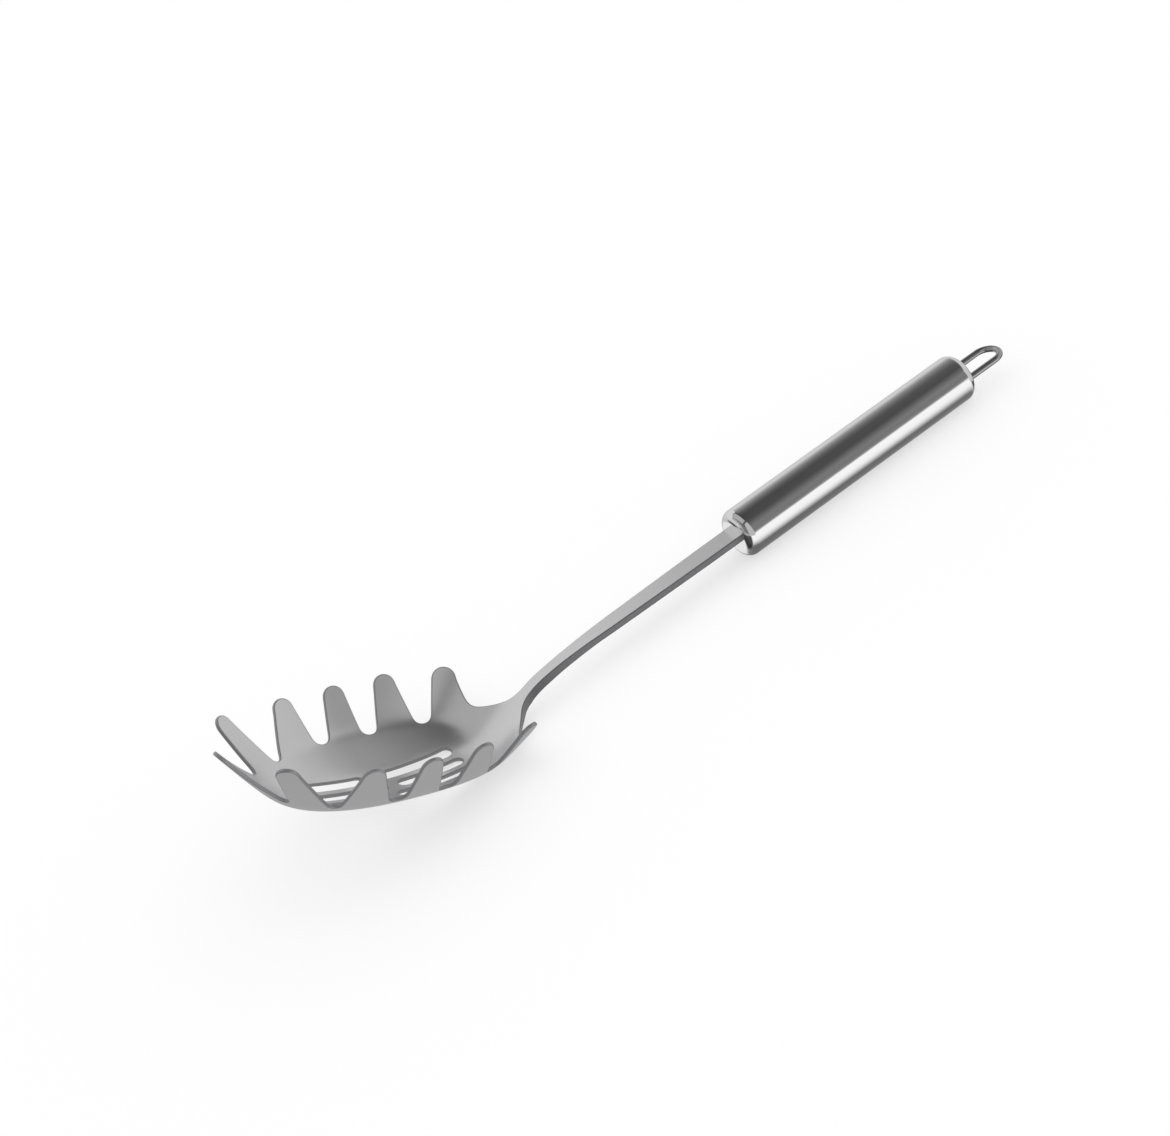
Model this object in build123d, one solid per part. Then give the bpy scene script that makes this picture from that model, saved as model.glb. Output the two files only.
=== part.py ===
from build123d import *
import math
import os

os.makedirs("parts", exist_ok=True)

# Pasta server in stainless steel, in millimetres. It lies as it would on a table: the heel of the
# bowl and the back end of the handle touch Z = 0, and +X points along the handle to its hanging loop.

# Handle: a steel tube closed at both ends by pressed caps with round shoulders
handle_length = 109.0
handle_radius = 9.0
tube_wall = 0.9
shoulder_radius = 3.6
cap_depth = 6.0
fit_clearance = 0.1

# Strap that carries the bowl, seen from the side and from above
strap_thickness = 2.35
strap_rise = 2.1
strap_half_width = 4.45
strap_straight = 62.0
tang_length = 14.0
neck_half_width = 2.55
neck_thickness = 3.2
root_half_width = 8.0

# Bowl: where its floor centre stands, how far it leans, and the reach of its wall at the top level
bowl_back_offset = 150.5
bowl_rise = 1.0
bowl_tilt = 23.7
wall_top_level = 28.0
front_reach = 58.5
rear_reach = 58.5
side_reach = 36.8
sheet_thickness = 1.3
front_fullness = 2.15
rear_fullness = 2.55
first_ring = 2
ring_count = 15
ring_points = 48
line_steps = 400
line_run_share = 1.3

# Slope of the bowl's inside in degrees, against the share of the reach from the centre outwards
front_slope_shares = ((0, 0), (0.205, 4.5), (0.342, 7.5), (0.496, 12), (0.598, 24), (0.658, 36),
                      (0.718, 45), (0.855, 48), (1, 49))
rear_slope_shares = ((0, 0), (0.205, 4.5), (0.342, 7.5), (0.479, 12), (0.581, 25), (0.65, 37),
                     (0.718, 43), (0.855, 46), (1, 50))
side_slope_shares = ((0, 0), (0.19, 5), (0.245, 10), (0.3125, 25), (0.489, 26.5), (0.652, 30),
                     (0.72, 56), (0.774, 60), (1, 60))

# Teeth of one side, front to back: place of the tip as a share of the bowl's reach at that level,
# level of the tip as a share of the wall's top level, and radius of the tip. The nose has one more.
tip_place_shares = (-0.783, -0.361, -0.007, 0.33, 0.695)
tip_level_shares = (0.957, 0.857, 0.843, 0.854, 0.857)
tip_radii = (3.7, 3.8, 3.8, 3.8, 4.1)
nose_level_share = 0.929
nose_radius = 3.7

# Gaps of one side, front to back: place and level of the bottom, radius of the bottom
gap_place_shares = (-0.93, -0.671, -0.216, 0.215, 0.657)
gap_level_shares = (0.368, 0.307, 0.296, 0.282, 0.307)
gap_radii = (2.0, 2.1, 3.1, 3.1, 3.1)

# Shoulder behind the last tooth, seen from above the bowl: its two corners as shares of the rear and
# the side reach, and their radii. The second corner lies on the neck, which starts after it.
shoulder_corner_shares = (0.701, 0.429)
neck_corner_share = 0.868
neck_start_share = 0.974
shoulder_radii = (9.0, 6.5)

# Where the sheet hands over to the thicker neck, as shares of the rear reach
sheet_end_share = 0.872
neck_root_share = 0.761

# Drain slots in the floor: three rows, each with a front and a back slot
slot_width = 4.5
row_pitch = 7.45
back_slot_end = 28.9
back_slot_starts = (5.3, 1.2)
front_slot_ends = (1.1, -3.0)
front_slot_starts = (-27.0, -24.0)

# Hanging loop of bent wire, whose legs pass through the back cap
wire_diameter = 2.4
loop_half_width = 5.15
loop_straight = 12.5
leg_in_handle = 5.0

# How far the cutters run past what they cut, and where the neck's root sits inside the sheet
overrun = 14.0
far_share = 1.6
tip_block_share = 3.2
root_sink_share = 0.15
root_depth_share = 0.6

# Neck seen from the side, from its root towards the straight strap: share of the run from the
# straight, share of the drop at its top, and how far it has thickened
neck_side_shares = ((0.851, 0.6, 1.0), (0.745, 0.385, 1.0), (0.574, 0.18, 0.75), (0.342, 0.03, 0.35))

# Half width of neck and strap from the bowl to the handle: share of the run, share of the widening
neck_width_shares = ((0, 0), (0.04, 0), (0.1, 0.05), (0.225, 0.29), (0.35, 0.57), (0.6, 0.8),
                     (0.85, 0.98), (1, 1))

sheet_end = rear_reach * sheet_end_share
neck_root = rear_reach * neck_root_share
neck_start = rear_reach * neck_start_share


def slope_at(slopes, share):
    # Slope in degrees at a share of the reach, straight between the listed ones
    for (share_a, slope_a), (share_b, slope_b) in zip(slopes, slopes[1:]):
        if share <= share_b:
            return slope_a + (slope_b - slope_a) * (share - share_a) / (share_b - share_a)
    return slopes[-1][1]


def rising_line(slopes, reach):
    # Distance from the centre and level of the bowl's inside, added up in small steps
    step = reach * line_run_share / line_steps
    line = [(0, 0)]
    for index in range(line_steps):
        distance, level = line[-1]
        slope = slope_at(slopes, (distance + step / 2) / reach)
        line.append((distance + step, level + step * math.tan(math.radians(slope))))
    return line


def outside_line(line):
    # The same line on the outside of the sheet, one thickness further out along its normal
    points = []
    for (distance_a, level_a), (distance_b, level_b) in zip(line, line[1:]):
        slope = math.atan2(level_b - level_a, distance_b - distance_a)
        distance = (distance_a + distance_b) / 2 + sheet_thickness * math.sin(slope)
        level = (level_a + level_b) / 2 - sheet_thickness * math.cos(slope)
        points.append((distance, level))
    return [(0, -sheet_thickness)] + points


front_line = rising_line(front_slope_shares, front_reach)
rear_line = rising_line(rear_slope_shares, rear_reach)
side_line = rising_line(side_slope_shares, side_reach)
inside_lines = (front_line, rear_line, side_line)
outside_lines = tuple(outside_line(line) for line in inside_lines)


def reach_at(line, level):
    # Distance from the centre at which the bowl's inside has this level
    for (distance_a, level_a), (distance_b, level_b) in zip(line, line[1:]):
        if level <= level_b:
            return distance_a + (distance_b - distance_a) * (level - level_a) / (level_b - level_a)
    return line[-1][0]


def level_at(line, distance):
    for (distance_a, level_a), (distance_b, level_b) in zip(line, line[1:]):
        if distance <= distance_b:
            return level_a + (level_b - level_a) * (distance - distance_a) / (distance_b - distance_a)
    return line[-1][1]


def wall_point(level, turn, lines=inside_lines):
    # Point of the bowl's wall at a level. Turn 0 is the back, a quarter is the +Y side, a half
    # is the nose. The level curve is an oval, fuller behind than in front.
    front, rear, side = lines
    along, across = math.cos(turn), math.sin(turn)
    power = 2 / (rear_fullness if along > 0 else front_fullness)
    reach = reach_at(rear if along > 0 else front, level)
    x = math.copysign(abs(along) ** power, along) * reach
    y = math.copysign(abs(across) ** power, across) * reach_at(side, level)
    return Vector(x, y, level)


def wall_plane(place_share, level):
    # Plane on the inside wall: its X runs round the rim towards the back, its Y straight up the wall.
    # The place is a share of the bowl's reach at that level, -1 at the nose and 1 at the back.
    fullness = rear_fullness if place_share > 0 else front_fullness
    turn = math.acos(math.copysign(abs(place_share) ** (fullness / 2), place_share))
    small_turn = 0.001
    level_step = side_reach * small_turn
    round_the_rim = wall_point(level, turn - small_turn) - wall_point(level, turn + small_turn)
    up = wall_point(level + level_step, turn) - wall_point(level - level_step, turn)
    return Plane(wall_point(level, turn), x_dir=round_the_rim, z_dir=round_the_rim.cross(up))


def bowl_solid(lines):
    # Loft through level rings, evenly spaced along the front of the bowl, up to the wall's top level
    top_ring = first_ring + ring_count
    front = lines[0]
    rings = []
    for index in range(first_ring, top_ring + 1):
        level = level_at(front, reach_at(front, wall_top_level) * index / top_ring)
        points = [wall_point(level, math.tau * step / ring_points, lines) for step in range(ring_points)]
        places = [step / ring_points for step in range(ring_points + 1)]
        rings.append(Wire([Edge.make_spline(points, periodic=True, parameters=places)]))
    return Solid.make_loft(rings)


def bowl_shell():
    return bowl_solid(outside_lines) - bowl_solid(inside_lines)


def tip_side(plane, radius, side):
    # Where the round end of a tooth starts, on its back side for 1 and on its front side for -1
    return plane.from_local_coords(Vector(side * radius, -radius, 0))


def gap_cutter(plane, bottom_radius, side_points):
    # Round-bottomed gap whose straight sides leave the round at a tangent, pass the side points of
    # the two teeth beside it and run on past their tips. The front side comes first.
    centre = Vector(0, bottom_radius)
    corners = []
    for side, point in zip((1, -1), side_points):
        local = plane.to_local_coords(point)
        away = Vector(local.X, local.Y) - centre
        swing = math.degrees(math.acos(bottom_radius / away.length))
        touch = centre + away.normalized().rotate(Axis.Z, side * swing) * bottom_radius
        corners += [touch, touch + (centre + away - touch) * far_share]
    front_touch, front_far, back_touch, back_far = corners
    outline = make_face(Polyline(front_touch, front_far, back_far, back_touch, close=True))
    outline += Pos(centre) * Circle(bottom_radius)
    return extrude(plane * outline, amount=overrun, both=True)


def tip_cutter(plane, radius):
    # What lies beyond the round end of a tooth
    block = Pos(0, overrun / 2 - radius) * Rectangle(radius * tip_block_share, overrun)
    outline = block - Pos(0, -radius) * Circle(radius)
    return extrude(plane * outline, amount=overrun / 2, both=True)


def drain_slot(start, end, y):
    outline = Pos((start + end) / 2, y) * SlotOverall(end - start, slot_width)
    return extrude(outline, amount=overrun, both=True)


def tooth_planes():
    levels = [share * wall_top_level for share in tip_level_shares]
    return [wall_plane(share, level) for share, level in zip(tip_place_shares, levels)]


def bowl():
    tips = tooth_planes()
    nose = wall_plane(-1, nose_level_share * wall_top_level)
    before = [tip_side(nose, nose_radius, 1)]
    before += [tip_side(plane, radius, 1) for plane, radius in zip(tips, tip_radii)]
    after = [tip_side(plane, radius, -1) for plane, radius in zip(tips, tip_radii)]
    cutters = [tip_cutter(plane, radius) for plane, radius in zip(tips, tip_radii)]
    gaps = zip(gap_place_shares, gap_level_shares, gap_radii, before, after)
    for place_share, level_share, radius, point_a, point_b in gaps:
        plane = wall_plane(place_share, level_share * wall_top_level)
        cutters.append(gap_cutter(plane, radius, (point_a, point_b)))
    cutters.append(shoulder_cutter())
    cutters += [mirror(cutter, about=Plane.XZ) for cutter in cutters]
    cutters.append(tip_cutter(nose, nose_radius))
    for side in (-1, 0, 1):
        row = abs(side)
        cutters.append(drain_slot(back_slot_starts[row], back_slot_end, side * row_pitch))
        cutters.append(drain_slot(front_slot_starts[row], front_slot_ends[row], side * row_pitch))
    reach = side_reach * far_share
    beyond_neck = Box(reach, reach, overrun * 2, align=(Align.MIN, Align.CENTER, Align.CENTER))
    cutters.append(Pos(sheet_end, 0, level_at(rear_line, sheet_end)) * beyond_neck)
    return (bowl_shell() - cutters).solids().sort_by(SortBy.VOLUME)[-1]


def shoulder_cutter():
    # From the back side of the last tooth round the shoulder and along the near end of the neck,
    # cut straight down through the bowl
    tooth = tip_side(tooth_planes()[-1], tip_radii[-1], 1)
    across = side_reach * shoulder_corner_shares[1]
    corner = Vector(rear_reach * shoulder_corner_shares[0], across)
    side = Vector(tooth.X, tooth.Y)
    far_tooth = side + (side - corner)
    neck_corner = Vector(rear_reach * neck_corner_share, neck_half_width)
    neck_end = Vector(neck_start, neck_half_width)
    far_end = Vector(neck_start, side_reach * far_share)
    line = FilletPolyline(far_tooth, corner, neck_corner, neck_end, radius=shoulder_radii)
    line += Polyline(neck_end, far_end, far_tooth)
    middle = level_at(rear_line, sheet_end)
    return extrude(Pos(0, 0, middle) * make_face(line), amount=overrun, both=True)


# The bowl leans down from the strap, so its places are turned about Y and moved back
bowl_lean = Location((-bowl_back_offset, 0, bowl_rise), (0, bowl_tilt, 0))


def on_neck(place, depth):
    # Point this far below the middle line of the bowl's back wall, in the handle's frame
    slope = math.radians(slope_at(rear_slope_shares, place / rear_reach))
    level = level_at(rear_line, place)
    point = Vector(place + depth * math.sin(slope), 0, level - depth * math.cos(slope))
    return (bowl_lean * Pos(point)).position


def strap():
    # Side view of strap and neck, thick in the neck and running out inside the sheet of the bowl
    joint = on_neck(sheet_end, 0)
    root = on_neck(neck_root, sheet_thickness * root_sink_share)
    drop = strap_rise - joint.Z
    run = -strap_straight - joint.X
    top = [root, joint]
    bottom = [on_neck(neck_root, sheet_thickness * root_depth_share), on_neck(sheet_end, neck_thickness)]
    for run_share, drop_share, thick_share in neck_side_shares:
        x = -strap_straight - run * run_share
        z = strap_rise - drop * drop_share
        top.append(Vector(x, 0, z))
        thickness = strap_thickness + (neck_thickness - strap_thickness) * thick_share
        bottom.append(Vector(x, 0, z - thickness))
    top.append(Vector(-strap_straight, 0, strap_rise))
    bottom.append(Vector(-strap_straight, 0, strap_rise - strap_thickness))
    tang_end = Vector(tang_length, 0, strap_rise)
    under_tang = Vector(tang_length, 0, strap_rise - strap_thickness)
    edges = Spline(top) + Line(top[-1], tang_end) + Line(tang_end, under_tang) + Line(under_tang, bottom[-1])
    edges += Spline(bottom) + Line(bottom[0], top[0])
    return extrude(make_face(edges), amount=root_half_width * 2, both=True) & strap_plan()


def strap_plan():
    # What the strap's width leaves, seen from above the bowl: broad at the root, where the shoulder
    # trims it, narrowest at the start of the neck and widening to the handle
    handle_front = bowl_back_offset * math.cos(math.radians(bowl_tilt))
    far = bowl_back_offset + tang_length
    run = handle_front - neck_start
    widening = strap_half_width - neck_half_width
    line = [(neck_start + run * share, neck_half_width + widening * wide) for share, wide in neck_width_shares]
    root = neck_root - overrun
    half = Polyline((root, 0), (root, root_half_width), (neck_start, root_half_width), line[0])
    half += Spline(line)
    half += Polyline(line[-1], (far, strap_half_width), (far, 0), (root, 0))
    half_plan = make_face(half)
    plan = half_plan + mirror(half_plan, about=Plane.XZ)
    return bowl_lean * extrude(plan, amount=bowl_back_offset, both=True)


def head():
    # The shoulder is cut through sheet and neck alike
    shoulder = bowl_lean * shoulder_cutter()
    whole = bowl_lean * bowl() + strap()
    return (whole - [shoulder, mirror(shoulder, about=Plane.XZ)]).solids().sort_by(SortBy.VOLUME)[-1]


def end_cap():
    # Half section turned about the handle's axis: a shallow cup with its closed end at X = 0
    inner = handle_radius - tube_wall
    flat = handle_radius - shoulder_radius
    half = Line((0, 0), (0, flat))
    half += RadiusArc((0, flat), (shoulder_radius, handle_radius), shoulder_radius)
    half += Line((shoulder_radius, handle_radius), (cap_depth, handle_radius))
    half += Line((cap_depth, handle_radius), (cap_depth, inner))
    half += Line((cap_depth, inner), (shoulder_radius, inner))
    half += RadiusArc((shoulder_radius, inner), (tube_wall, flat), tube_wall - shoulder_radius)
    half += Line((tube_wall, flat), (tube_wall, 0))
    half += Line((tube_wall, 0), (0, 0))
    return revolve(make_face(half), axis=Axis.X)


def front_cap():
    # The strap passes through a slot in the closed end and is welded there
    slot = Box(cap_depth, 2 * (strap_half_width + fit_clearance), strap_thickness + 2 * fit_clearance)
    return end_cap() - Pos(0, 0, strap_rise - strap_thickness / 2) * slot


def back_cap():
    # The two legs of the hanging loop pass through holes in the closed end
    cap = Pos(handle_length) * Rot(0, 0, 180) * end_cap()
    for side in (-1, 1):
        hole = Cylinder(wire_diameter / 2 + fit_clearance, cap_depth, rotation=(0, 90, 0))
        cap -= Pos(handle_length, side * loop_half_width) * hole
    return cap


def handle_tube():
    outline = Circle(handle_radius) - Circle(handle_radius - tube_wall)
    start = Plane((cap_depth, 0, 0), z_dir=(1, 0, 0))
    return extrude(start * outline, amount=handle_length - 2 * cap_depth)


def hanging_loop():
    start = handle_length - leg_in_handle
    bend = handle_length + loop_straight
    path = Line((start, loop_half_width), (bend, loop_half_width))
    path += RadiusArc((bend, loop_half_width), (bend, -loop_half_width), loop_half_width)
    path += Line((bend, -loop_half_width), (start, -loop_half_width))
    section = Plane((start, loop_half_width, 0), z_dir=(1, 0, 0)) * Circle(wire_diameter / 2)
    return sweep(section, path=path)


pieces = {
    "pressed_head": head(),
    "front_cap": front_cap(),
    "handle_tube": handle_tube(),
    "back_cap": back_cap(),
    "hanging_loop": hanging_loop(),
}


def resting_turn():
    # Small turn about Y that brings the heel of the bowl and the back end of the handle level
    turn = 0
    back = handle_length - shoulder_radius
    for step in range(4):
        heel = (Rot(0, turn, 0) * pieces["pressed_head"]).bounding_box().min
        angle = math.radians(turn)
        end = shoulder_radius + (handle_radius - shoulder_radius) * math.cos(angle) + back * math.sin(angle)
        turn += math.degrees((-end - heel.Z) / (back + bowl_back_offset - front_reach / 2))
    return turn


turn = resting_turn()
turned = {name: Rot(0, turn, 0) * piece for name, piece in pieces.items()}
boxes = [piece.bounding_box() for piece in turned.values()]
front_end = min(box.min.X for box in boxes)
back_end = max(box.max.X for box in boxes)
table = min(box.min.Z for box in boxes)
to_origin = Pos(-(front_end + back_end) / 2, 0, -table)

print("turned to rest by", round(turn, 3), "degrees, moved by", to_origin.position)
for name, piece in turned.items():
    placed = to_origin * piece
    placed.label = name
    export_step(placed, f"parts/{name}.step")
    size = placed.bounding_box().size
    print(name, round(size.X, 1), round(size.Y, 1), round(size.Z, 1))
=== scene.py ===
import bpy
import math
import numpy as np
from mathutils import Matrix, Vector
from mathutils.geometry import delaunay_2d_cdt


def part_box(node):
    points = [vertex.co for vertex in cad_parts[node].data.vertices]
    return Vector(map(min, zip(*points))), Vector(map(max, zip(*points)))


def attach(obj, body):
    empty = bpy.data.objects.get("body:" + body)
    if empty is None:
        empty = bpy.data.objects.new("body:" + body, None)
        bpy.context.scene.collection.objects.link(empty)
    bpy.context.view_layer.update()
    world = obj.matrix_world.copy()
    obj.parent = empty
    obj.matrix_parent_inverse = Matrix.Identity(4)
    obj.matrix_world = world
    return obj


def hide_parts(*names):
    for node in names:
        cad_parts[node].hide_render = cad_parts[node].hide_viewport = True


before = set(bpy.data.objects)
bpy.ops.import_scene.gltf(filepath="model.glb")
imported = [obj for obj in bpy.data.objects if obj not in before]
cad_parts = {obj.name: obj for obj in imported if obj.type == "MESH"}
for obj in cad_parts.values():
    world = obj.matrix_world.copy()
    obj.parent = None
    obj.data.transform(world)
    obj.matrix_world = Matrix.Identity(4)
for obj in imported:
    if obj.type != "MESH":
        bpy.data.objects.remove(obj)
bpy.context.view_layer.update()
scene = bpy.context.scene
scene.view_settings.view_transform = "Standard"
mm = 0.001

print("frame loaded:", sorted(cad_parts))


# Small helpers

def linear(hexColour):
    # sRGB hex such as "#C8C8CA" to the linear numbers that the shader takes
    parts = [int(hexColour[i:i + 2], 16) / 255 for i in (1, 3, 5)]
    return [c / 12.92 if c <= 0.04045 else ((c + 0.055) / 1.055) ** 2.4 for c in parts] + [1]


def addNode(tree, kind, settings=None, links=None):
    # one node: settings by attribute, input name or input number, and links from other nodes' outputs
    node = tree.nodes.new(kind)
    for name, value in (settings or {}).items():
        if hasattr(node, str(name)):
            setattr(node, name, value)
        else:
            node.inputs[name].default_value = value
    for name, source in (links or {}).items():
        tree.links.new(source, node.inputs[name])
    return node


def newMaterial(name):
    material = bpy.data.materials.new(name)
    material.use_nodes = True
    material.node_tree.nodes.clear()
    return material, material.node_tree


def newMesh(name, points, faces, normals=None):
    mesh = bpy.data.meshes.new(name)
    mesh.from_pydata(np.asarray(points).tolist(), [], faces)
    mesh.update()
    mesh.polygons.foreach_set("use_smooth", np.ones(len(mesh.polygons), bool))
    if normals is not None:
        mesh.normals_split_custom_set_from_vertices(np.asarray(normals).tolist())
    piece = bpy.data.objects.new(name, mesh)
    scene.collection.objects.link(piece)
    return piece


def smoothed(values, reach, closed=False):
    # each value becomes the mean of its neighbours up to `reach` places away on both sides
    total = np.zeros_like(values, dtype=float)
    for shift in range(-reach, reach + 1):
        if closed:
            total += np.roll(values, shift, axis=0)
        else:
            place = np.clip(np.arange(len(values)) + shift, 0, len(values) - 1)
            total += values[place]
    return total / (2 * reach + 1)


# Where the handle lies. Its axis runs through the middle of the two end caps.
frontLow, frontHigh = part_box("front_cap")
backLow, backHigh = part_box("back_cap")
handleStart = np.array([frontLow.x, 0, (frontLow.z + frontHigh.z) / 2])
handleEnd = np.array([backHigh.x, 0, (backLow.z + backHigh.z) / 2])
handleAxis = (handleEnd - handleStart) / np.linalg.norm(handleEnd - handleStart)
handleUp = np.array([-handleAxis[2], 0, handleAxis[0]])


def onHandle(points):
    # millimetres in the handle's frame (X along it from its front end, Z up) to metres in the scene
    points = np.asarray(points, float) * mm
    side = points[:, 1:2] * np.array([[0, 1, 0]])
    return handleStart + points[:, 0:1] * handleAxis + side + points[:, 2:3] * handleUp


# Head: bowl, neck and strap, pressed from one sheet of steel. Millimetres in the bowl's own frame:
# X towards the handle, Z up from the middle of the floor.
head = {
    "backOffset": 150.5, "rise": 1.03, "tilt": 23.7,
    "frontReach": 58.5, "rearReach": 58.5, "sideReach": 36.8,
    "frontFullness": 2.15, "rearFullness": 2.55,
    "sheet": 1.3, "neck": 3.2, "strap": 2.35, "edgeRadius": 0.38,
    "tangEnd": 150.0, "neckFrom": 40.0, "neckTo": 170.0, "neckJoin": 47.0, "highest": 60.0,
}
# how finely the head is drawn. Rounding counts the samples on each side that a corner is spread over,
# and a row of the lattice lies 0.866 of a step from the next, so that its triangles are even.
fineness = {
    "gridStep": 1.0, "rowShare": 0.866, "gridFront": -70.0, "gridHalf": 45.0, "outlineStep": 0.5,
    "edgeRows": 3, "wallSamples": 4001, "wallRounding": 90, "neckSamples": 5201, "neckRounding": 60,
    "halvings": 44, "settlings": 25, "tipSteps": 40, "gapSteps": 60, "cornerSteps": 30, "slotSteps": 20,
    "neckSteps": 400, "endSteps": 12, "sideRounding": 4, "outlineRounding": 2,
}

# slope of the inside in degrees against the share of the reach, from the middle outwards
slopeShares = {
    "front": ((0, 0), (0.205, 4.5), (0.342, 7.5), (0.496, 12), (0.598, 24), (0.658, 36),
              (0.718, 45), (0.855, 48), (1.0, 49), (1.3, 49)),
    "rear": ((0, 0), (0.205, 4.5), (0.342, 7.5), (0.479, 12), (0.581, 25), (0.65, 37),
             (0.718, 43), (0.855, 46), (1.0, 50), (1.3, 50)),
    "side": ((0, 0), (0.19, 5), (0.245, 10), (0.3125, 25), (0.489, 26.5), (0.652, 30),
             (0.72, 56), (0.774, 60), (1.0, 60), (1.3, 60)),
}

# teeth of one side from the nose backwards: place as a share of the reach at that level, level and
# radius of the round tip
teeth = ((-0.783, 26.8, 3.7), (-0.361, 24.0, 3.8), (-0.007, 23.6, 3.8), (0.33, 23.9, 3.8), (0.695, 24.0, 4.1))
noseTip = {"level": 26.0, "radius": 3.7}
# gaps between them: place, level and radius of the bottom
gaps = ((-0.93, 10.3, 2.0), (-0.671, 8.6, 2.1), (-0.216, 8.3, 3.1), (0.215, 7.9, 3.1), (0.657, 8.6, 3.1))
# shoulder behind the last tooth, seen from above the bowl: its two corners and their radii
shoulder = {"corner": (41.0, 15.8), "cornerRadius": 9.0, "neck": (50.8, 2.55), "neckRadius": 6.5}

# middle line of the neck: place along the bowl and slope in degrees, down to the strap's own slope
neckSlopes = ((40, 45.5), (47, 45.5), (52, 44), (55.5, 38), (58, 32), (63, 29), (70, 26.3), (80, 24),
              (90, 23.7), (170, 23.7))
neckHalfWidths = ((55, 2.55), (57, 2.55), (60, 2.55), (65, 2.64), (75, 3.1), (85, 3.63), (105, 4.07),
                  (125, 4.41), (137, 4.45), (170, 4.45))
thicknesses = ((0, "sheet"), (45, "sheet"), (52, "neck"), (60, "neck"), (80, "strap"), (170, "strap"))
neckBlend = (45.5, 54.0)

drainSlots = {"width": 4.5, "rowPitch": 7.45, "backEnd": 28.9, "backStarts": (5.3, 1.2),
              "frontEnds": (1.1, -3.0), "frontStarts": (-27.0, -24.0)}


def risingLine(name, reach):
    # level against distance: the slope's tangent added up in small steps, its corners rounded off
    shares, slopes = np.array(slopeShares[name]).T
    distance = np.linspace(0, reach * shares[-1], fineness["wallSamples"])
    slope = smoothed(np.interp(distance / reach, shares, slopes), fineness["wallRounding"])
    step = distance[1] - distance[0]
    level = np.concatenate([[0], np.cumsum(np.tan(np.radians(slope[:-1])) * step)])
    return distance, level


frontLine = risingLine("front", head["frontReach"])
rearLine = risingLine("rear", head["rearReach"])
sideLine = risingLine("side", head["sideReach"])


def reachAt(line, level):
    # distance from the middle at which the line comes to the level
    return np.interp(level, line[1], line[0])


def bowlLevel(x, y):
    # level where the point lies on the oval (x / length reach)^p + (y / side reach)^p = 1,
    # found by halving the range of levels, which ends well above the rim
    low = np.zeros_like(x)
    high = np.full_like(x, head["highest"])
    behind = x > 0
    power = np.where(behind, head["rearFullness"], head["frontFullness"])
    for _ in range(fineness["halvings"]):
        middle = (low + high) / 2
        along = np.where(behind, reachAt(rearLine, middle), reachAt(frontLine, middle))
        across = reachAt(sideLine, middle)
        outside = (np.abs(x) / along) ** power + (np.abs(y) / across) ** power > 1
        low = np.where(outside, middle, low)
        high = np.where(outside, high, middle)
    return (low + high) / 2


# the neck's middle line starts on the bowl's back wall and rises by its own slopes from there
neckDistance = np.linspace(head["neckFrom"], head["neckTo"], fineness["neckSamples"])
neckSlope = smoothed(np.interp(neckDistance, *np.array(neckSlopes).T), fineness["neckRounding"])
neckStep = neckDistance[1] - neckDistance[0]
neckRise = np.concatenate([[0], np.cumsum(np.tan(np.radians(neckSlope[:-1])) * neckStep)])
joinLevel, joinRise = (np.interp(head["neckJoin"], *line) for line in (rearLine, (neckDistance, neckRise)))
neckLine = joinLevel + neckRise - joinRise


def topLevel(x, y):
    # the bowl's level, handed over to the neck's middle line by a smooth step
    share = np.clip((x - neckBlend[0]) / (neckBlend[1] - neckBlend[0]), 0, 1)
    share = share * share * (3 - 2 * share)
    return bowlLevel(x, y) * (1 - share) + np.interp(x, neckDistance, neckLine) * share


def topNormal(x, y):
    # upward normal from the level's rise per millimetre along and across
    reach = 0.25
    alongRise = (topLevel(x + reach, y) - topLevel(x - reach, y)) / (2 * reach)
    acrossRise = (topLevel(x, y + reach) - topLevel(x, y - reach)) / (2 * reach)
    normal = np.stack([-alongRise, -acrossRise, np.ones_like(x)], 1)
    return normal / np.linalg.norm(normal, axis=1, keepdims=True)


def thicknessAt(x):
    # thickness along the head: the sheet's, the neck's and then the strap's
    places = [place for place, name in thicknesses]
    values = [head[name] for place, name in thicknesses]
    return np.interp(x, places, values)


def wallPoint(level, turn):
    # point of the wall at a level: turn 0 is the back, a quarter is the +Y side, a half is the nose
    along, across = math.cos(turn), math.sin(turn)
    power = 2 / (head["rearFullness"] if along > 0 else head["frontFullness"])
    reach = reachAt(rearLine if along > 0 else frontLine, level)
    x = math.copysign(abs(along) ** power, along) * reach
    y = math.copysign(abs(across) ** power, across) * reachAt(sideLine, level)
    return np.array([x, y, level])


def wallPlane(place, level):
    # origin and three directions on the wall: round the rim towards the back, up the wall, out of it.
    # The place is a share of the reach at that level, -1 at the nose.
    fullness = head["rearFullness"] if place > 0 else head["frontFullness"]
    turn = math.acos(math.copysign(abs(place) ** (fullness / 2), place))
    small = 0.001
    rise = head["sideReach"] * small
    rim = wallPoint(level, turn - small) - wallPoint(level, turn + small)
    up = wallPoint(level + rise, turn) - wallPoint(level - rise, turn)
    rim = rim / np.linalg.norm(rim)
    out = np.cross(rim, up)
    out = out / np.linalg.norm(out)
    return wallPoint(level, turn), rim, np.cross(out, rim), out


def ontoSurface(plane, flat):
    # points of a flat outline moved along the plane's normal until they meet the inside of the bowl: the
    # slope of the miss is felt with a small probe, and no step is longer than 2 mm
    origin, rim, up, out = plane
    points = origin + flat[:, 0:1] * rim + flat[:, 1:2] * up
    shift = np.zeros(len(points))
    probe, leastSlope, longest = 0.05, 0.05, 2
    for _ in range(fineness["settlings"]):
        here = points + shift[:, None] * out
        there = points + (shift + probe)[:, None] * out
        miss = topLevel(here[:, 0], here[:, 1]) - here[:, 2]
        missThere = topLevel(there[:, 0], there[:, 1]) - there[:, 2]
        slope = (missThere - miss) / probe
        slope = np.where(np.abs(slope) < leastSlope, leastSlope, slope)
        shift = shift - np.clip(miss / slope, -longest, longest)
    return points + shift[:, None] * out


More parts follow.
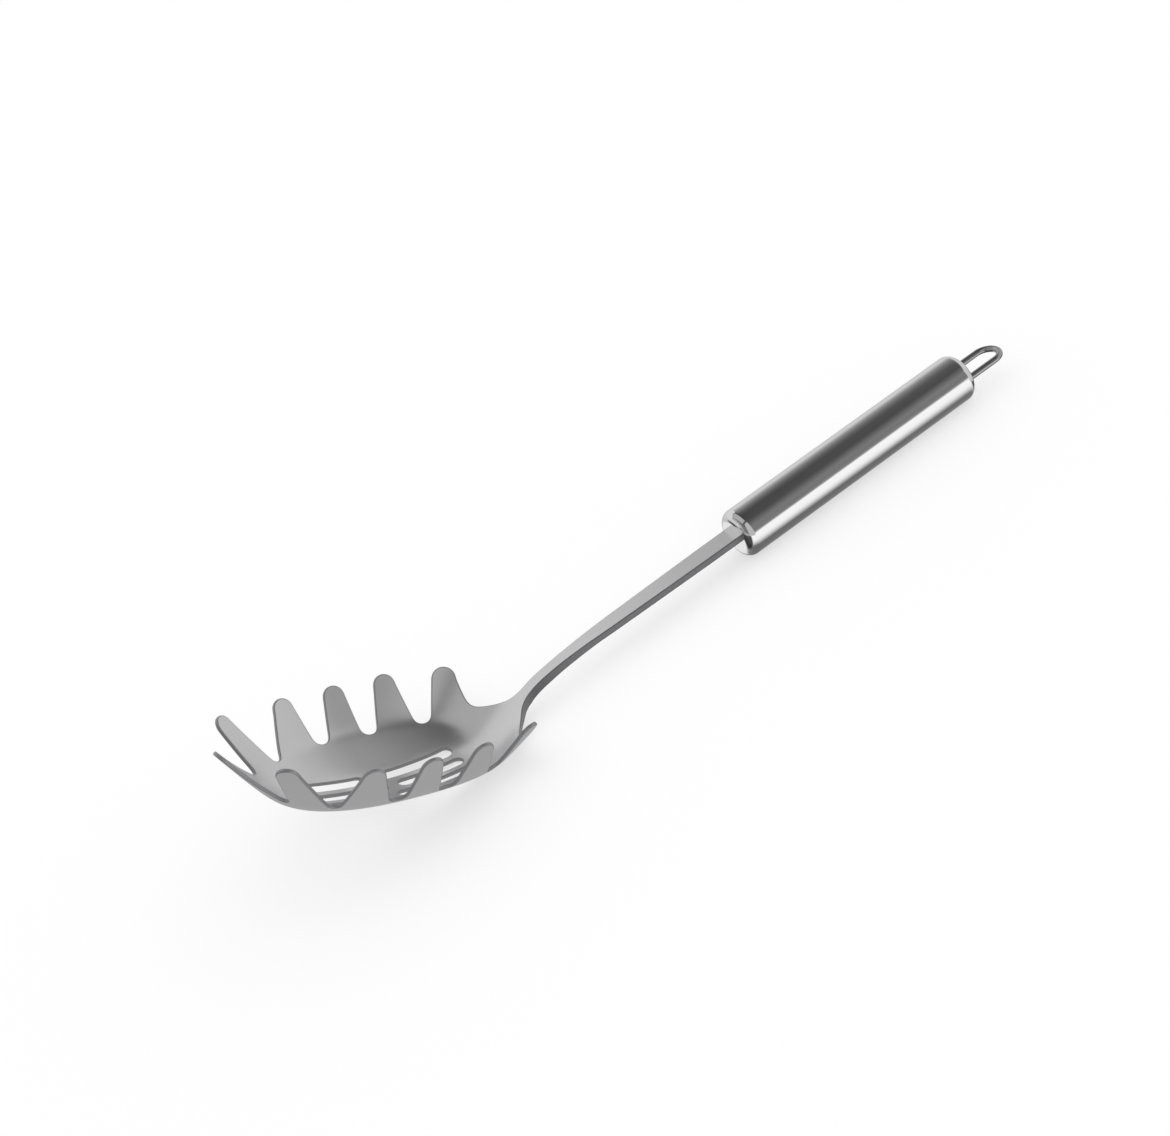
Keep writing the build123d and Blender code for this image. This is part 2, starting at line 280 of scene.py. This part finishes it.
def tipArc(plane, radius, startTurn, endTurn):
    # round tip of a tooth, with its top at the plane's origin
    turn = np.radians(np.linspace(startTurn, endTurn, fineness["tipSteps"]))
    flat = np.stack([radius * np.cos(turn), radius * np.sin(turn) - radius], 1)
    return ontoSurface(plane, flat)


def gapLine(plane, radius, frontPoint, backPoint):
    # straight side, round bottom, straight side: each side leaves the round at a tangent
    origin, rim, up, out = plane
    centre = np.array([0, radius])
    touches, ends = [], []
    for side, point in ((1, frontPoint), (-1, backPoint)):
        local = np.array([(point - origin) @ rim, (point - origin) @ up])
        away = local - centre
        turn = math.atan2(away[1], away[0]) + side * math.acos(radius / np.linalg.norm(away))
        touches.append(turn - math.tau if turn > 0 else turn)
        ends.append(local)
    first, last = touches
    if last < first:
        last += math.tau
    turn = np.linspace(first, last, fineness["gapSteps"])
    arc = centre + radius * np.stack([np.cos(turn), np.sin(turn)], 1)
    share = np.linspace(0, 1, fineness["gapSteps"])[:, None]
    down = ends[0] * (1 - share) + arc[0] * share
    upward = arc[-1] * (1 - share) + ends[1] * share
    return ontoSurface(plane, np.concatenate([down[:-1], arc, upward[1:]]))


def rounded(before, corner, after, radius):
    # arc that rounds a corner, from one tangent point to the other
    inward = (before - corner) / np.linalg.norm(before - corner)
    onward = (after - corner) / np.linalg.norm(after - corner)
    half = math.acos(np.clip(inward @ onward, -1, 1)) / 2
    middle = (inward + onward) / np.linalg.norm(inward + onward)
    centre = corner + middle * radius / math.sin(half)
    share = np.linspace(-1, 1, fineness["cornerSteps"])[:, None] * (math.pi / 2 - half)
    across = (onward - inward) / np.linalg.norm(onward - inward)
    return centre + radius * (across * np.sin(share) - middle * np.cos(share))


def shoulderLine(tooth):
    # from the back side of the last tooth round the shoulder to the neck, seen from above
    corner, neck = np.array(shoulder["corner"]), np.array(shoulder["neck"])
    alongNeck = neck + [1, 0]
    first = rounded(tooth, corner, neck, shoulder["cornerRadius"])
    second = rounded(corner, neck, alongNeck, shoulder["neckRadius"])
    share = np.linspace(0, 1, fineness["cornerSteps"])[1:-1, None]
    return np.concatenate([tooth * (1 - share) + first[0] * share, first,
                           first[-1] * (1 - share) + second[0] * share, second])


def sideOutline():
    # plan of one side from the nose's top to the tang's end: tip, gap, tip and so on, then the neck
    nosePlane = wallPlane(-1, noseTip["level"])
    planes = [wallPlane(place, level) for place, level, radius in teeth]
    arcs = [tipArc(nosePlane, noseTip["radius"], 90, 0)]
    arcs += [tipArc(plane, tip[2], 180, 0) for plane, tip in zip(planes, teeth)]
    parts = []
    for (place, level, radius), arc, nextArc in zip(gaps, arcs, arcs[1:]):
        line = gapLine(wallPlane(place, level), radius, arc[-1], nextArc[0])
        parts += [arc[:, :2], line[1:-1, :2]]
    parts += [arcs[-1][:, :2], shoulderLine(arcs[-1][-1, :2])]
    x = np.linspace(parts[-1][-1, 0] + fineness["outlineStep"], head["tangEnd"], fineness["neckSteps"])
    y = smoothed(np.interp(x, *np.array(neckHalfWidths).T), fineness["sideRounding"])
    endY = np.linspace(y[-1], 0, fineness["endSteps"] + 1)[1:]
    parts += [np.stack([x, y], 1), np.stack([np.full_like(endY, head["tangEnd"]), endY], 1)]
    return np.concatenate(parts)


def evenly(plan):
    # the same closed line with points an even step apart, measured on the surface
    points = np.column_stack([plan, topLevel(plan[:, 0], plan[:, 1])])
    points = np.concatenate([points, points[:1]])
    length = np.concatenate([[0], np.cumsum(np.linalg.norm(np.diff(points, axis=0), axis=1))])
    places = np.linspace(0, length[-1], int(round(length[-1] / fineness["outlineStep"])) + 1)[:-1]
    return np.stack([np.interp(places, length, points[:, 0]), np.interp(places, length, points[:, 1])], 1)


def slotLoop(start, end, y):
    # stadium traced clockwise: two straights and two half circles
    radius = drainSlots["width"] / 2
    turn = np.linspace(np.pi / 2, -np.pi / 2, fineness["slotSteps"])
    right = np.stack([end - radius + radius * np.cos(turn), y + radius * np.sin(turn)], 1)
    left = np.stack([start + radius - radius * np.cos(turn), y - radius * np.sin(turn)], 1)
    return evenly(np.concatenate([right, left]))


def headLoops():
    # the half runs from the nose along +Y to the tang, so the whole loop is turned round to go
    # counter-clockwise seen from above
    half, samePlace = sideOutline(), 1e-4
    half = half[np.concatenate([[True], np.linalg.norm(np.diff(half, axis=0), axis=1) > samePlace])]
    mirrored = half[::-1][1:-1] * [1, -1]
    outer = evenly(np.concatenate([half, mirrored])[::-1])
    loops = [smoothed(outer, fineness["outlineRounding"], True)]
    for side in (-1, 0, 1):
        row = abs(side)
        y = side * drainSlots["rowPitch"]
        loops.append(slotLoop(drainSlots["backStarts"][row], drainSlots["backEnd"], y))
        loops.append(slotLoop(drainSlots["frontStarts"][row], drainSlots["frontEnds"][row], y))
    return loops


def insideLoops(points, loops):
    # true where a ray to +X crosses the loops an odd number of times, worked out for some 2000 points
    # at once to save memory
    inside = np.zeros(len(points), bool)
    for loop in loops:
        a, b = loop, np.roll(loop, -1, axis=0)
        for chunk in np.array_split(np.arange(len(points)), max(len(points) // 2000, 1)):
            x, y = points[chunk, 0:1], points[chunk, 1:2]
            spans = (a[:, 1] > y) != (b[:, 1] > y)
            rise = np.where(a[:, 1] == b[:, 1], 1e-9, b[:, 1] - a[:, 1])
            crossing = a[:, 0] + (y - a[:, 1]) * (b[:, 0] - a[:, 0]) / rise
            inside[chunk] ^= (np.sum(spans & (crossing > x), axis=1) % 2).astype(bool)
    return inside


def nearest(points, others):
    # distance from each point to the closest of the others, some 500 points at once
    least = np.empty(len(points))
    for chunk in np.array_split(np.arange(len(points)), max(len(points) // 500, 1)):
        gap = points[chunk, None, :] - others[None, :, :]
        least[chunk] = np.sqrt((gap ** 2).sum(2).min(1))
    return least


def bowlToHandle(points):
    # the bowl leans down from the strap: turned about Y, then moved back along the handle
    tilt = math.radians(head["tilt"])
    x = points[:, 0] * math.cos(tilt) + points[:, 2] * math.sin(tilt) - head["backOffset"]
    z = -points[:, 0] * math.sin(tilt) + points[:, 2] * math.cos(tilt) + head["rise"]
    return np.stack([x, points[:, 1], z], 1)


def makeHead():
    loops = headLoops()
    radius = head["edgeRadius"]
    insets, outwards = [], []
    for loop in loops:
        points = np.column_stack([loop, topLevel(loop[:, 0], loop[:, 1])])
        along = np.roll(points, -1, axis=0) - np.roll(points, 1, axis=0)
        outward = np.cross(along, topNormal(loop[:, 0], loop[:, 1]))
        outward /= np.linalg.norm(outward, axis=1, keepdims=True)
        insets.append((points - radius * outward)[:, :2])
        outwards.append(outward)
    # a lattice of even triangles between the loops, clear of them by half a step
    step = fineness["gridStep"]
    xs = np.arange(fineness["gridFront"], head["tangEnd"] + step, step * fineness["rowShare"])
    ys = np.arange(-fineness["gridHalf"], fineness["gridHalf"], step)
    gridX, gridY = np.meshgrid(xs, ys, indexing="ij")
    gridY = gridY + (np.arange(len(xs)) % 2)[:, None] * step / 2
    grid = np.column_stack([gridX.ravel(), gridY.ravel()])
    grid = grid[insideLoops(grid, insets)]
    rims = np.concatenate(insets)
    grid = grid[nearest(grid, rims) > step / 2]
    plan = np.concatenate([rims, grid])
    edges, start = [], 0
    for loop in insets:
        edges += [(start + i, start + (i + 1) % len(loop)) for i in range(len(loop))]
        start += len(loop)
    everyTriangle, touching = 0, 1e-7
    found = delaunay_2d_cdt([Vector(p) for p in plan.tolist()], edges, [], everyTriangle, touching, False)
    triangles = np.array(found[2])
    middle = plan[triangles].mean(axis=1)
    triangles = triangles[insideLoops(middle, insets)]
    a, b, c = plan[triangles[:, 0]], plan[triangles[:, 1]], plan[triangles[:, 2]]
    area = (b[:, 0] - a[:, 0]) * (c[:, 1] - a[:, 1]) - (b[:, 1] - a[:, 1]) * (c[:, 0] - a[:, 0])
    triangles[area < 0] = triangles[area < 0][:, ::-1]
    x, y = plan[:, 0], plan[:, 1]
    normal = topNormal(x, y)
    top = np.column_stack([plan, topLevel(x, y)])
    thick = thicknessAt(x)[:, None]
    count = len(plan)
    points = [top, top - normal * thick]
    normals = [normal, -normal]
    faces = triangles.tolist() + (triangles[:, ::-1] + count).tolist()
    sheetFaces = len(faces)
    # rounded edge: a quarter circle from the top, a straight wall, a quarter circle to the underside. Each
    # step has its way out, its depth, whether that counts from the underside, and its normal's turn.
    turns = np.radians(np.linspace(0, 90, fineness["edgeRows"] + 1))
    steps = [(math.sin(t), radius * (1 - math.cos(t)), 0, t) for t in turns[1:]]
    steps += [(math.cos(t), radius * (math.sin(t) - 1), 1, math.pi / 2 + t) for t in turns[:-1]]
    total, start = 2 * count, 0
    for outward in outwards:
        size = len(outward)
        span = slice(start, start + size)
        ring = [np.arange(start, start + size)]
        for out, depth, fromBelow, turn in steps:
            down = depth + fromBelow * thick[span]
            points.append(top[span] + radius * out * outward - down * normal[span])
            normals.append(math.cos(turn) * normal[span] + math.sin(turn) * outward)
            ring.append(np.arange(total, total + size))
            total += size
        ring.append(np.arange(count + start, count + start + size))
        for upper, lower in zip(ring, ring[1:]):
            faces += np.stack([upper, lower, np.roll(lower, -1), np.roll(upper, -1)], 1).tolist()
        start += size
    points = np.concatenate(points)
    normals = np.concatenate(normals)
    moved = onHandle(bowlToHandle(points))
    ends = onHandle(bowlToHandle(points + normals)) - moved
    ends /= np.linalg.norm(ends, axis=1, keepdims=True)
    piece = newMesh("pressedHead", moved, faces, ends)
    piece.data.polygons.foreach_set("material_index", (np.arange(len(faces)) >= sheetFaces).astype(int))
    print("head:", len(points), "points,", len(faces), "faces")
    return piece


# Handle: a drawn steel tube between two pressed end caps, millimetres in the handle's frame. The caps
# are flat with a round shoulder, and are welded on and polished flush.
handle = {"length": 109.0, "radius": 9.0, "wall": 0.9, "shoulder": 3.6, "capDepth": 6.0,
          "sides": 192, "wallRows": 30, "shoulderRows": 25, "faceRings": (0.4, 0.685, 0.97)}


def turnedShell(name, profile, sharp, closed, flip):
    # a section carried round the handle's axis: each point of the profile (along, outward) becomes a
    # ring, (along, outward x cos, outward x sin). Closed joins the last ring to the first, and
    # otherwise both end rings are filled. The rings named as sharp keep a hard corner.
    turn = np.linspace(0, 2 * np.pi, handle["sides"], endpoint=False)
    grid = np.empty((len(profile), len(turn), 3))
    grid[:, :, 0] = profile[:, 0:1]
    grid[:, :, 1] = np.outer(profile[:, 1], np.cos(turn))
    grid[:, :, 2] = np.outer(profile[:, 1], np.sin(turn))
    rows, sides = grid.shape[:2]
    index = np.arange(rows * sides).reshape(rows, sides)
    upper, lower = (np.roll(index, -1, axis=0), index) if closed else (index[1:], index[:-1])
    quads = np.stack([lower, np.roll(lower, -1, axis=1), np.roll(upper, -1, axis=1), upper], 2).reshape(-1, 4)
    faces = quads.tolist()
    if not closed:
        faces += [index[0][::-1].tolist(), index[-1].tolist()]
    if flip:
        faces = [face[::-1] for face in faces]
    piece = newMesh(name, onHandle(grid.reshape(-1, 3)), faces)
    edges = np.empty(len(piece.data.edges) * 2, int)
    piece.data.edges.foreach_get("vertices", edges)
    rings = edges.reshape(-1, 2) // sides
    hard = (rings[:, 0] == rings[:, 1]) & np.isin(rings[:, 0], sharp)
    piece.data.edges.foreach_set("use_edge_sharp", hard)
    return piece


def makeTube():
    # outer wall from end to end, then the inner wall back
    radius, rows = handle["radius"], handle["wallRows"]
    along = np.linspace(handle["capDepth"], handle["length"] - handle["capDepth"], rows)
    outside = np.column_stack([along, np.full(rows, radius)])
    inside = np.column_stack([along[::-1], np.full(rows, radius - handle["wall"])])
    corners = [0, rows - 1, rows, 2 * rows - 1]
    return turnedShell("handleTube", np.concatenate([outside, inside]), corners, True, False)


def makeCap(name, back):
    # flat face, quarter-round shoulder, short wall, then the inside the same way back to the middle. The
    # face's rings are shares of its flat part.
    radius, bend, depth, wall = (handle[key] for key in ("radius", "shoulder", "capDepth", "wall"))
    flat, insideBend = radius - bend, bend - wall
    turn = np.linspace(0, np.pi / 2, handle["shoulderRows"])
    face = np.array([[0, flat * share] for share in handle["faceRings"]])
    outside = np.column_stack([bend - bend * np.cos(turn), flat + bend * np.sin(turn)])
    rim = np.array([[depth, radius], [depth, radius - wall]])
    inside = np.column_stack([bend - insideBend * np.cos(turn), flat + insideBend * np.sin(turn)])[::-1]
    middle = np.array([[wall, flat * handle["faceRings"][0]]])
    profile = np.concatenate([face, outside, rim, inside, middle])
    rimRow = len(face) + len(outside)
    if back:
        profile = profile * [-1, 1] + [handle["length"], 0]
    return turnedShell(name, profile, [rimRow, rimRow + 1], False, back)


# Hanging loop: drawn steel wire bent to a long U, its legs through the back cap
loop = {"wire": 2.4, "halfWidth": 5.15, "legStart": 104.0, "bendStart": 121.5,
        "sides": 32, "legSteps": 11, "bendSteps": 64}


def makeLoop():
    # a circle carried along leg, half circle, leg. Each ring stands square to the path: its points are
    # the path plus radius x cos to the side plus radius x sin upwards.
    turn = np.linspace(np.pi / 2, -np.pi / 2, loop["bendSteps"] + 1)
    legs = np.linspace(loop["legStart"], loop["bendStart"], loop["legSteps"] + 1)[:-1]
    half, radius = loop["halfWidth"], loop["wire"] / 2
    pathX = np.concatenate([legs, loop["bendStart"] + half * np.cos(turn), legs[::-1]])
    pathY = np.concatenate([np.full_like(legs, half), half * np.sin(turn), np.full_like(legs, -half)])
    sideX = np.concatenate([np.zeros_like(legs), np.cos(turn), np.zeros_like(legs)])
    sideY = np.concatenate([np.ones_like(legs), np.sin(turn), -np.ones_like(legs)])
    angle = np.linspace(0, 2 * np.pi, loop["sides"], endpoint=False)
    grid = np.empty((len(pathX), len(angle), 3))
    grid[:, :, 0] = pathX[:, None] + radius * np.outer(sideX, np.cos(angle))
    grid[:, :, 1] = pathY[:, None] + radius * np.outer(sideY, np.cos(angle))
    grid[:, :, 2] = radius * np.sin(angle)[None, :]
    index = np.arange(grid.shape[0] * grid.shape[1]).reshape(grid.shape[:2])
    around = np.roll(index, -1, axis=1)
    faces = np.stack([around[:-1], around[1:], index[1:], index[:-1]], 2).reshape(-1, 4).tolist()
    faces += [index[0][::-1].tolist(), index[-1].tolist()]
    return newMesh("hangingLoop", onHandle(grid.reshape(-1, 3)), faces)


# Materials. Every pattern reads Object coordinates, so its scale is a true size in metres. Sizes here are
# in millimetres, and smooth and dull are the ends of the roughness.
steel = {
    "sheet": {"colour": "#E4E4E5", "smooth": 0.28, "dull": 0.31, "cloud": 9.0, "grain": 0.3, "relief": 0.02},
    # the edge's colours are partly painted shade: darker than the sheet, and darkest along the strap
    "edge": {"bowl": "#B6B6B8", "strap": "#8A8A8C", "from": -75, "to": -58, "smooth": 0.45, "dull": 0.60,
             "grain": 0.5},
    "tube": {"colour": "#F0F0F0", "smooth": 0.07, "dull": 0.13, "streak": 0.7, "stretch": 0.04,
             "relief": 0.01},
    "wire": {"colour": "#B4B4B5", "smooth": 0.16, "dull": 0.24, "streak": 0.7, "stretch": 0.1,
             "relief": 0.01},
    "reliefStrength": 0.03,
}


def addNoise(tree, place, size, detail):
    # noise with spots about `size` millimetres across
    settings = {"Scale": 1 / (size * mm), "Detail": detail}
    return addNode(tree, "ShaderNodeTexNoise", settings, {"Vector": place}).outputs["Fac"]


def addRough(tree, look, noise):
    # roughness from smooth to dull over the middle of the noise, where most of its values lie
    limits = {"From Min": 0.3, "From Max": 0.7, "To Min": look["smooth"], "To Max": look["dull"]}
    return addNode(tree, "ShaderNodeMapRange", limits, {"Value": noise}).outputs["Result"]


def addMetal(tree, look, rough, height):
    # metal with a colour that is the same all over, and a relief that is only just felt
    relief = {"Strength": steel["reliefStrength"], "Distance": look["relief"] * mm}
    bump = addNode(tree, "ShaderNodeBump", relief, {"Height": height})
    even = {"Base Color": linear(look["colour"]), "Metallic": 1.0}
    shader = addNode(tree, "ShaderNodeBsdfPrincipled", even,
                     {"Roughness": rough, "Normal": bump.outputs["Normal"]})
    addNode(tree, "ShaderNodeOutputMaterial", None, {"Surface": shader.outputs["BSDF"]})


def satinSteel():
    # 18/10 stainless sheet, cold rolled, pressed and tumbled to a satin: soft wide reflections, a faint
    # cloudiness a few millimetres across and a fine even grain. The grain is really about 0.05 mm and is
    # drawn at 0.3 mm so that it shows.
    look = steel["sheet"]
    material, tree = newMaterial("satinStainlessSheet")
    place = addNode(tree, "ShaderNodeTexCoord").outputs["Object"]
    cloud = addNoise(tree, place, look["cloud"], 3.0)
    grain = addNoise(tree, place, look["grain"], 2.0)
    addMetal(tree, look, addRough(tree, look, cloud), grain)
    return material


def cutEdgeSteel():
    # the blanked edge of the same sheet, deburred but not polished, so duller. Its colour is partly painted
    # shade: darker than the sheet, and darker still along the strap than round the bowl
    look = steel["edge"]
    material, tree = newMaterial("deburredEdgePaintedShade")
    place = addNode(tree, "ShaderNodeTexCoord").outputs["Object"]
    rough = addRough(tree, look, addNoise(tree, place, look["grain"], 2.0))
    axes = addNode(tree, "ShaderNodeSeparateXYZ", None, {"Vector": place})
    share = addNode(tree, "ShaderNodeMapRange", {"From Min": look["from"] * mm, "From Max": look["to"] * mm},
                    {"Value": axes.outputs["X"]})
    # painted shade: the edge's colour darkens from round the bowl to along the strap
    ends = {"data_type": "RGBA", 6: linear(look["bowl"]), 7: linear(look["strap"])}
    colour = addNode(tree, "ShaderNodeMix", ends, {0: share.outputs["Result"]})
    shader = addNode(tree, "ShaderNodeBsdfPrincipled", {"Metallic": 1.0},
                     {"Base Color": colour.outputs[2], "Roughness": rough})
    addNode(tree, "ShaderNodeOutputMaterial", None, {"Surface": shader.outputs["BSDF"]})
    return material


def drawnSteel(name, look):
    # drawn stainless tube or wire: the tube is buffed nearly to a mirror and the wire left as drawn, a
    # shade darker. Both have a fine haze in streaks along the draw direction.
    material, tree = newMaterial(name)
    place = addNode(tree, "ShaderNodeTexCoord").outputs["Object"]
    stretched = addNode(tree, "ShaderNodeMapping", {"Scale": (look["stretch"], 1, 1)}, {"Vector": place})
    streak = addNoise(tree, stretched.outputs["Vector"], look["streak"], 3.0)
    addMetal(tree, look, addRough(tree, look, streak), streak)
    return material


satin = satinSteel()
cutEdge = cutEdgeSteel()
buffedTube = drawnSteel("buffedStainlessTube", steel["tube"])
drawnWire = drawnSteel("drawnStainlessWire", steel["wire"])

headPiece = makeHead()
headPiece.data.materials.append(satin)
headPiece.data.materials.append(cutEdge)
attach(headPiece, "root")
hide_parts("pressed_head")

tubePiece = makeTube()
tubePiece.data.materials.append(buffedTube)
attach(tubePiece, "root")
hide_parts("handle_tube")

loopPiece = makeLoop()
loopPiece.data.materials.append(drawnWire)
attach(loopPiece, "root")
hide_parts("hanging_loop")

for name, node, back in (("frontCap", "front_cap", False), ("backCap", "back_cap", True)):
    cap = makeCap(name, back)
    cap.data.materials.append(buffedTube)
    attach(cap, "root")
    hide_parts(node)
print("pieces made")


# Floor, light and camera

def makeFloor():
    # opal table lit from below: a white diffuse surface that also glows, so the shadow stays soft
    half, glowShare = 3.0, 0.55
    material, tree = newMaterial("opalTable")
    white = linear("#FFFFFF")
    surface = addNode(tree, "ShaderNodeBsdfDiffuse", {"Color": white})
    glow = addNode(tree, "ShaderNodeEmission", {"Color": white, "Strength": 1.0})
    mix = addNode(tree, "ShaderNodeMixShader", {"Fac": glowShare},
                  {1: surface.outputs[0], 2: glow.outputs[0]})
    addNode(tree, "ShaderNodeOutputMaterial", None, {"Surface": mix.outputs[0]})
    floor = newMesh("floor", [(-half, -half, 0), (half, -half, 0), (half, half, 0), (-half, half, 0)],
                    [(0, 1, 2, 3)])
    floor.data.materials.append(material)
    floor.visible_glossy = False  # the metal sees the studio below it instead


# grey cards round the bowl and the strap, corners in millimetres and brightness, seen only in the metal
cards = {
    "frontCard": (((-420, -500, -50), (190, -500, -50), (190, -500, 800), (-420, -500, 800)), 0.52),
    "rightCard": (((1600, -1800, -700), (1600, 1500, -700), (1600, 1500, 1300), (1600, -1800, 1300)), 0.62),
    "strapCard": (((-700, 800, 190), (360, 800, 190), (360, 800, 900), (-700, 800, 900)), 0.73),
    "topCard": (((-700, -400, 900), (60, -400, 900), (60, 700, 900), (-700, 700, 900)), 0.45),
    # painted shade: a grey card on the floor under the bowl, seen only in the metal, stands for the floor's
    # shade there
    "bowlFloorShadeCard": (((-220, -110, 0.2), (-45, -110, 0.2), (-45, 60, 0.2), (-220, 60, 0.2)), 0.43),
}


def makeCard(name, corners, level):
    material, tree = newMaterial(name)
    glow = addNode(tree, "ShaderNodeEmission", {"Color": (level, level, level, 1), "Strength": 1.0})
    addNode(tree, "ShaderNodeOutputMaterial", None, {"Surface": glow.outputs[0]})
    card = newMesh(name, np.array(corners) * mm, [(0, 1, 2, 3)])
    card.data.materials.append(material)
    card.visible_camera = False
    card.visible_diffuse = False
    card.visible_shadow = False


# what the metal sees beyond the cards, as brightness against the sine of the height, from straight
# down to straight up: behind the object a grey wall under a dark ceiling, and in front a dark room
# over a white floor that is dark again close under the object. That dark straight down is a painted shadow of
# the object, seen in the metal
studio = {
    "behind": ((-1.0, 0.16), (-0.85, 0.20), (-0.6, 0.5), (0.0, 0.66), (0.3, 0.70), (0.5, 0.48), (0.6, 0.32),
               (0.8, 0.15), (0.92, 0.055), (1.0, 0.05)),
    "front": ((-1.0, 0.15), (-0.83, 0.16), (-0.70, 0.58), (-0.6, 0.84), (-0.45, 1.02), (-0.08, 1.07),
              (0.04, 0.24), (0.2, 0.19), (0.45, 0.20), (0.63, 0.14), (0.78, 0.075), (1.0, 0.05)),
    "mouthCard": 0.88,
}
# soft borders in that room: axis, where the border starts and ends, and the least value
borders = {
    "behind": ("Y", -0.3, 0.2, 0),
    "cardLow": ("Z", -0.25, -0.4, 0), "cardLeft": ("X", -0.05, -0.2, 0), "cardBack": ("Y", 0.5, 0.65, 0),
    "flagLeft": ("X", -0.65, -0.5, 0.08), "flagRight": ("X", 0.8, 0.68, 0.12), "above": ("Z", -0.15, 0.05, 0),
}


def combine(tree, operation, first, second):
    # two shares made into one, by multiplying them or by taking the greater
    return addNode(tree, "ShaderNodeMath", {"operation": operation}, {0: first, 1: second}).outputs[0]


def makeWorld():
    world = bpy.data.worlds.new("studio")
    scene.world = world
    world.use_nodes = True
    tree = world.node_tree
    tree.nodes.clear()
    direction = addNode(tree, "ShaderNodeTexCoord").outputs["Generated"]
    axes = addNode(tree, "ShaderNodeSeparateXYZ", None, {"Vector": direction}).outputs
    height = addNode(tree, "ShaderNodeMapRange", {"From Min": -1, "From Max": 1}, {"Value": axes["Z"]})
    shade = {}
    for side in ("front", "behind"):
        ramp = addNode(tree, "ShaderNodeValToRGB", None, {"Fac": height.outputs["Result"]})
        elements = ramp.color_ramp.elements
        while len(elements) < len(studio[side]):
            elements.new(0.5)
        for element, (place, level) in zip(elements, studio[side]):
            element.position = (place + 1) / 2
            element.color = (level, level, level, 1)
        shade[side] = ramp.outputs["Color"]
    border = {}
    for name, (axis, start, end, least) in borders.items():
        limits = {"From Min": start, "From Max": end, "To Min": least}
        border[name] = addNode(tree, "ShaderNodeMapRange", limits, {"Value": axes[axis]}).outputs["Result"]
    room = addNode(tree, "ShaderNodeMix", {"data_type": "RGBA"},
                   {0: border["behind"], 6: shade["front"], 7: shade["behind"]})

    # a pale card behind the mouth of the handle
    corner = combine(tree, "MULTIPLY", border["cardLow"], border["cardLeft"])
    card = combine(tree, "MULTIPLY", corner, border["cardBack"])
    pale = [studio["mouthCard"]] * 3 + [1]
    withCard = addNode(tree, "ShaderNodeMix", {"data_type": "RGBA", 7: pale}, {0: card, 6: room.outputs[2]})

    # black flags off both ends of the object, below the horizon only
    flags = combine(tree, "MULTIPLY", border["flagLeft"], border["flagRight"])
    lit = combine(tree, "MAXIMUM", flags, border["above"])

    # the metal reflects that room, and all other light is plain white
    path = addNode(tree, "ShaderNodeLightPath")
    plain = addNode(tree, "ShaderNodeBackground", {"Color": (1, 1, 1, 1), "Strength": 1.0})
    seen = addNode(tree, "ShaderNodeBackground", None, {"Color": withCard.outputs[2], "Strength": lit})
    mix = addNode(tree, "ShaderNodeMixShader", None,
                  {0: path.outputs["Is Glossy Ray"], 1: plain.outputs[0], 2: seen.outputs[0]})
    addNode(tree, "ShaderNodeOutputWorld", None, {"Surface": mix.outputs[0]})


# the photograph's camera, fitted to it: place, lens, film width and nearest distance in millimetres,
# turn in degrees
view = {"place": (-276.37, -594.09, 416.04), "turn": (57.27557, 19.80294, -35.35663),
        "lens": 70, "film": 36, "near": 10}


def makeCamera():
    data = bpy.data.cameras.new("camera")
    data.lens = view["lens"]
    data.sensor_width = view["film"]
    data.clip_start = view["near"] * mm
    camera = bpy.data.objects.new("camera", data)
    scene.collection.objects.link(camera)
    camera.location = [length * mm for length in view["place"]]
    camera.rotation_euler = [math.radians(angle) for angle in view["turn"]]
    scene.camera = camera


makeFloor()
for name, (corners, level) in cards.items():
    makeCard(name, corners, level)
makeWorld()
makeCamera()
print("floor, light and camera set")
